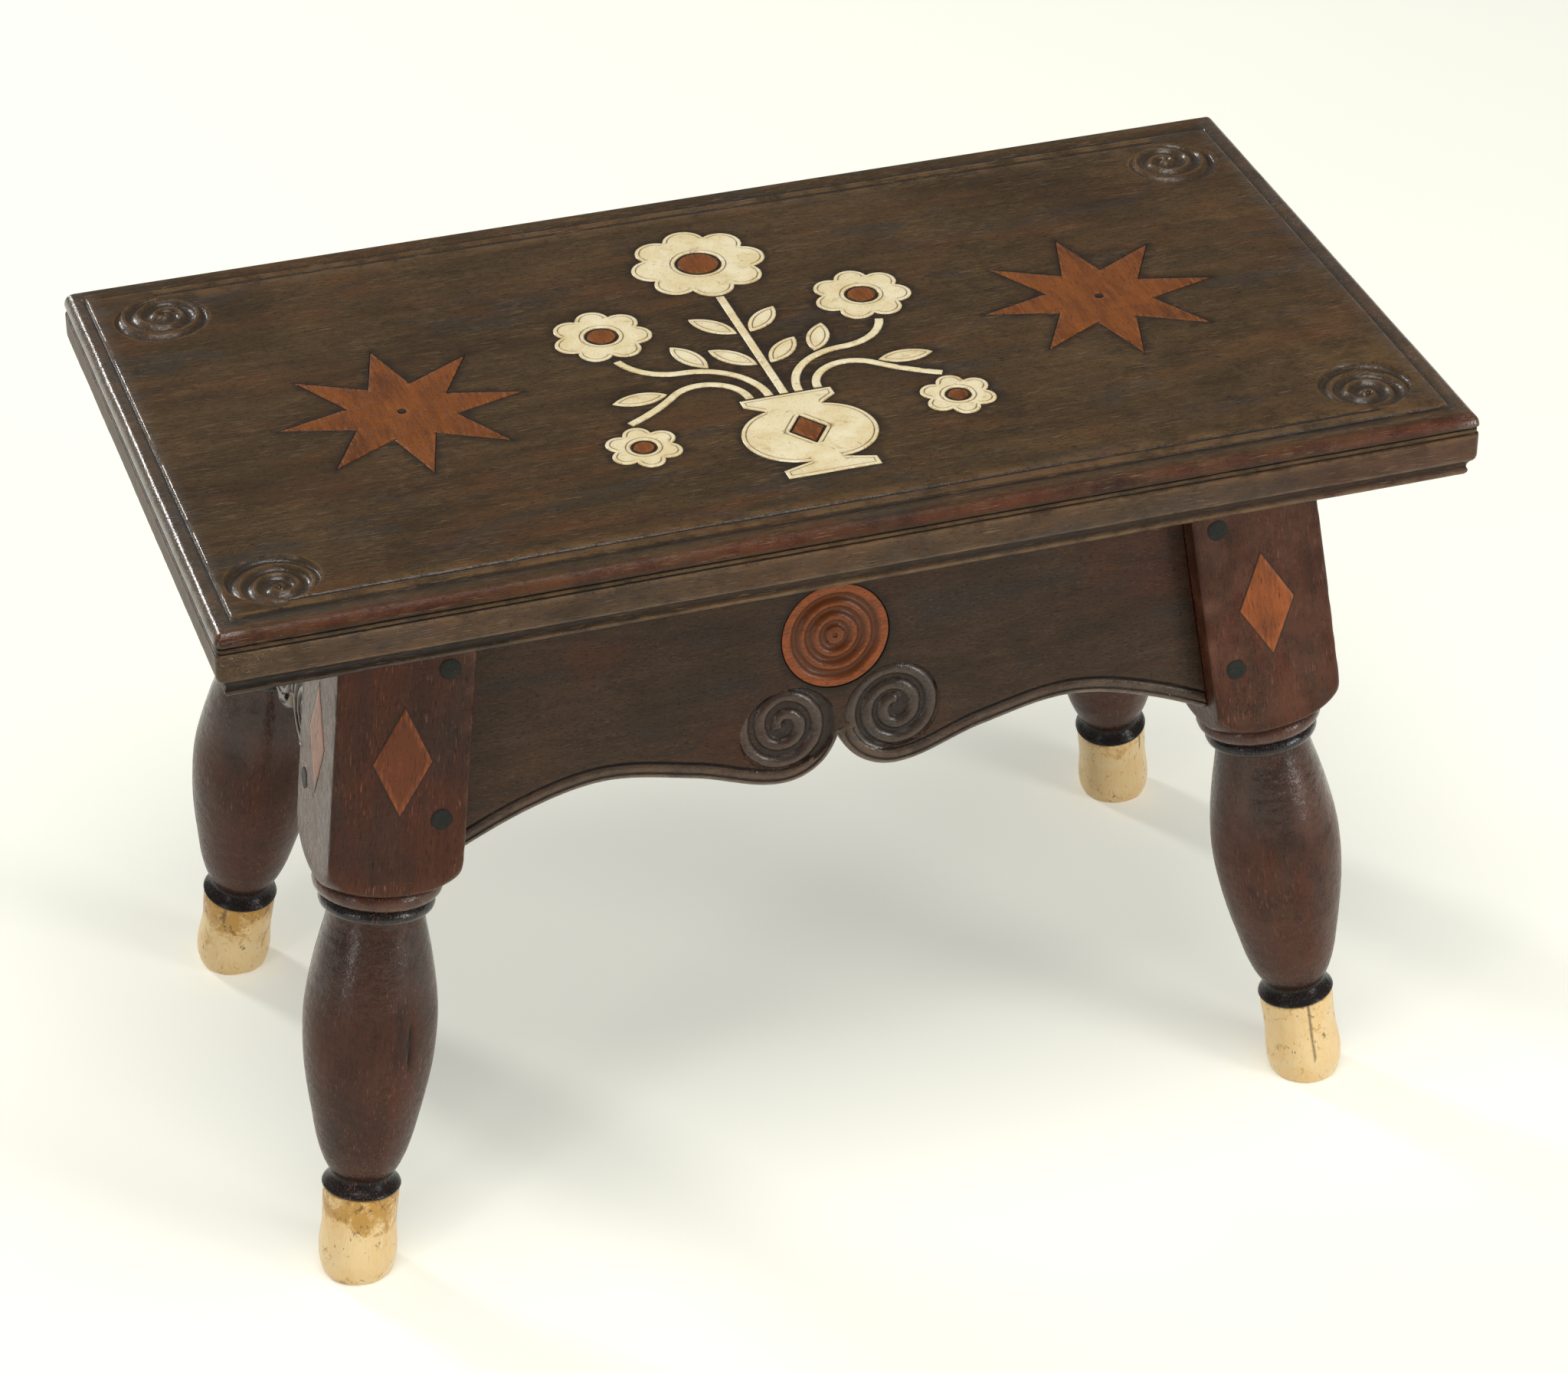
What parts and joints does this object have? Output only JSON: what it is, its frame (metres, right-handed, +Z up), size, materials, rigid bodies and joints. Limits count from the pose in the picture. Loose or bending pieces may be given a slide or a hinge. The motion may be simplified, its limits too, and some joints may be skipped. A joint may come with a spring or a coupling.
{
  "type": "footstool",
  "caption": "Low wooden footstool with splayed turned legs, bone feet, scalloped aprons and inlaid top",
  "frame": {"origin": "on the floor under the middle of the stool", "axes": "+X along the length, +Z up, front towards -Y"},
  "size_m": [0.376, 0.205, 0.2435],
  "materials": {
    "board_wood": "old waxed dark brown hardwood with fine scratches",
    "leg_wood": "polished red-brown hardwood, dark in the turned quirks",
    "apron_wood": "waxed dark brown hardwood",
    "hidden_wood": "unfinished sawn wood",
    "red_wood": "polished orange-red hardwood inlay",
    "peg_wood": "near-black end grain",
    "bone": "polished old bone with brown pits and stains"
  },
  "bodies": {
    "root": {"apron_back": "apron_wood", "apron_front": "apron_wood", "apron_left": "apron_wood", "apron_right": "apron_wood", "diamond_end_back_left": "red_wood", "diamond_end_back_right": "red_wood", "diamond_end_front_left": "red_wood", "diamond_end_front_right": "red_wood", "diamond_long_side_back_left": "red_wood", "diamond_long_side_back_right": "red_wood", "diamond_long_side_front_left": "red_wood", "diamond_long_side_front_right": "red_wood", "foot_back_left": "bone", "foot_back_right": "bone", "foot_front_left": "bone", "foot_front_right": "bone", "glue_blocks_end": "hidden_wood", "glue_blocks_long": "hidden_wood", "inlay_eyes": "red_wood", "inlay_flower_low": "bone", "inlay_flower_side": "bone", "inlay_flower_top": "bone", "inlay_leaves": "bone", "inlay_stem_top": "bone", "inlay_stems": "bone", "inlay_urn": "bone", "inlay_urn_lozenge": "red_wood", "leg_back_left": "leg_wood", "leg_back_right": "leg_wood", "leg_front_left": "leg_wood", "leg_front_right": "leg_wood", "pegs_back": "peg_wood", "pegs_front": "peg_wood", "pegs_left": "peg_wood", "pegs_right": "peg_wood", "roundel_back": "red_wood", "roundel_front": "red_wood", "star_left": "red_wood", "star_pins": "peg_wood", "star_right": "red_wood", "top_board": "board_wood"}
  },
  "joints": []
}
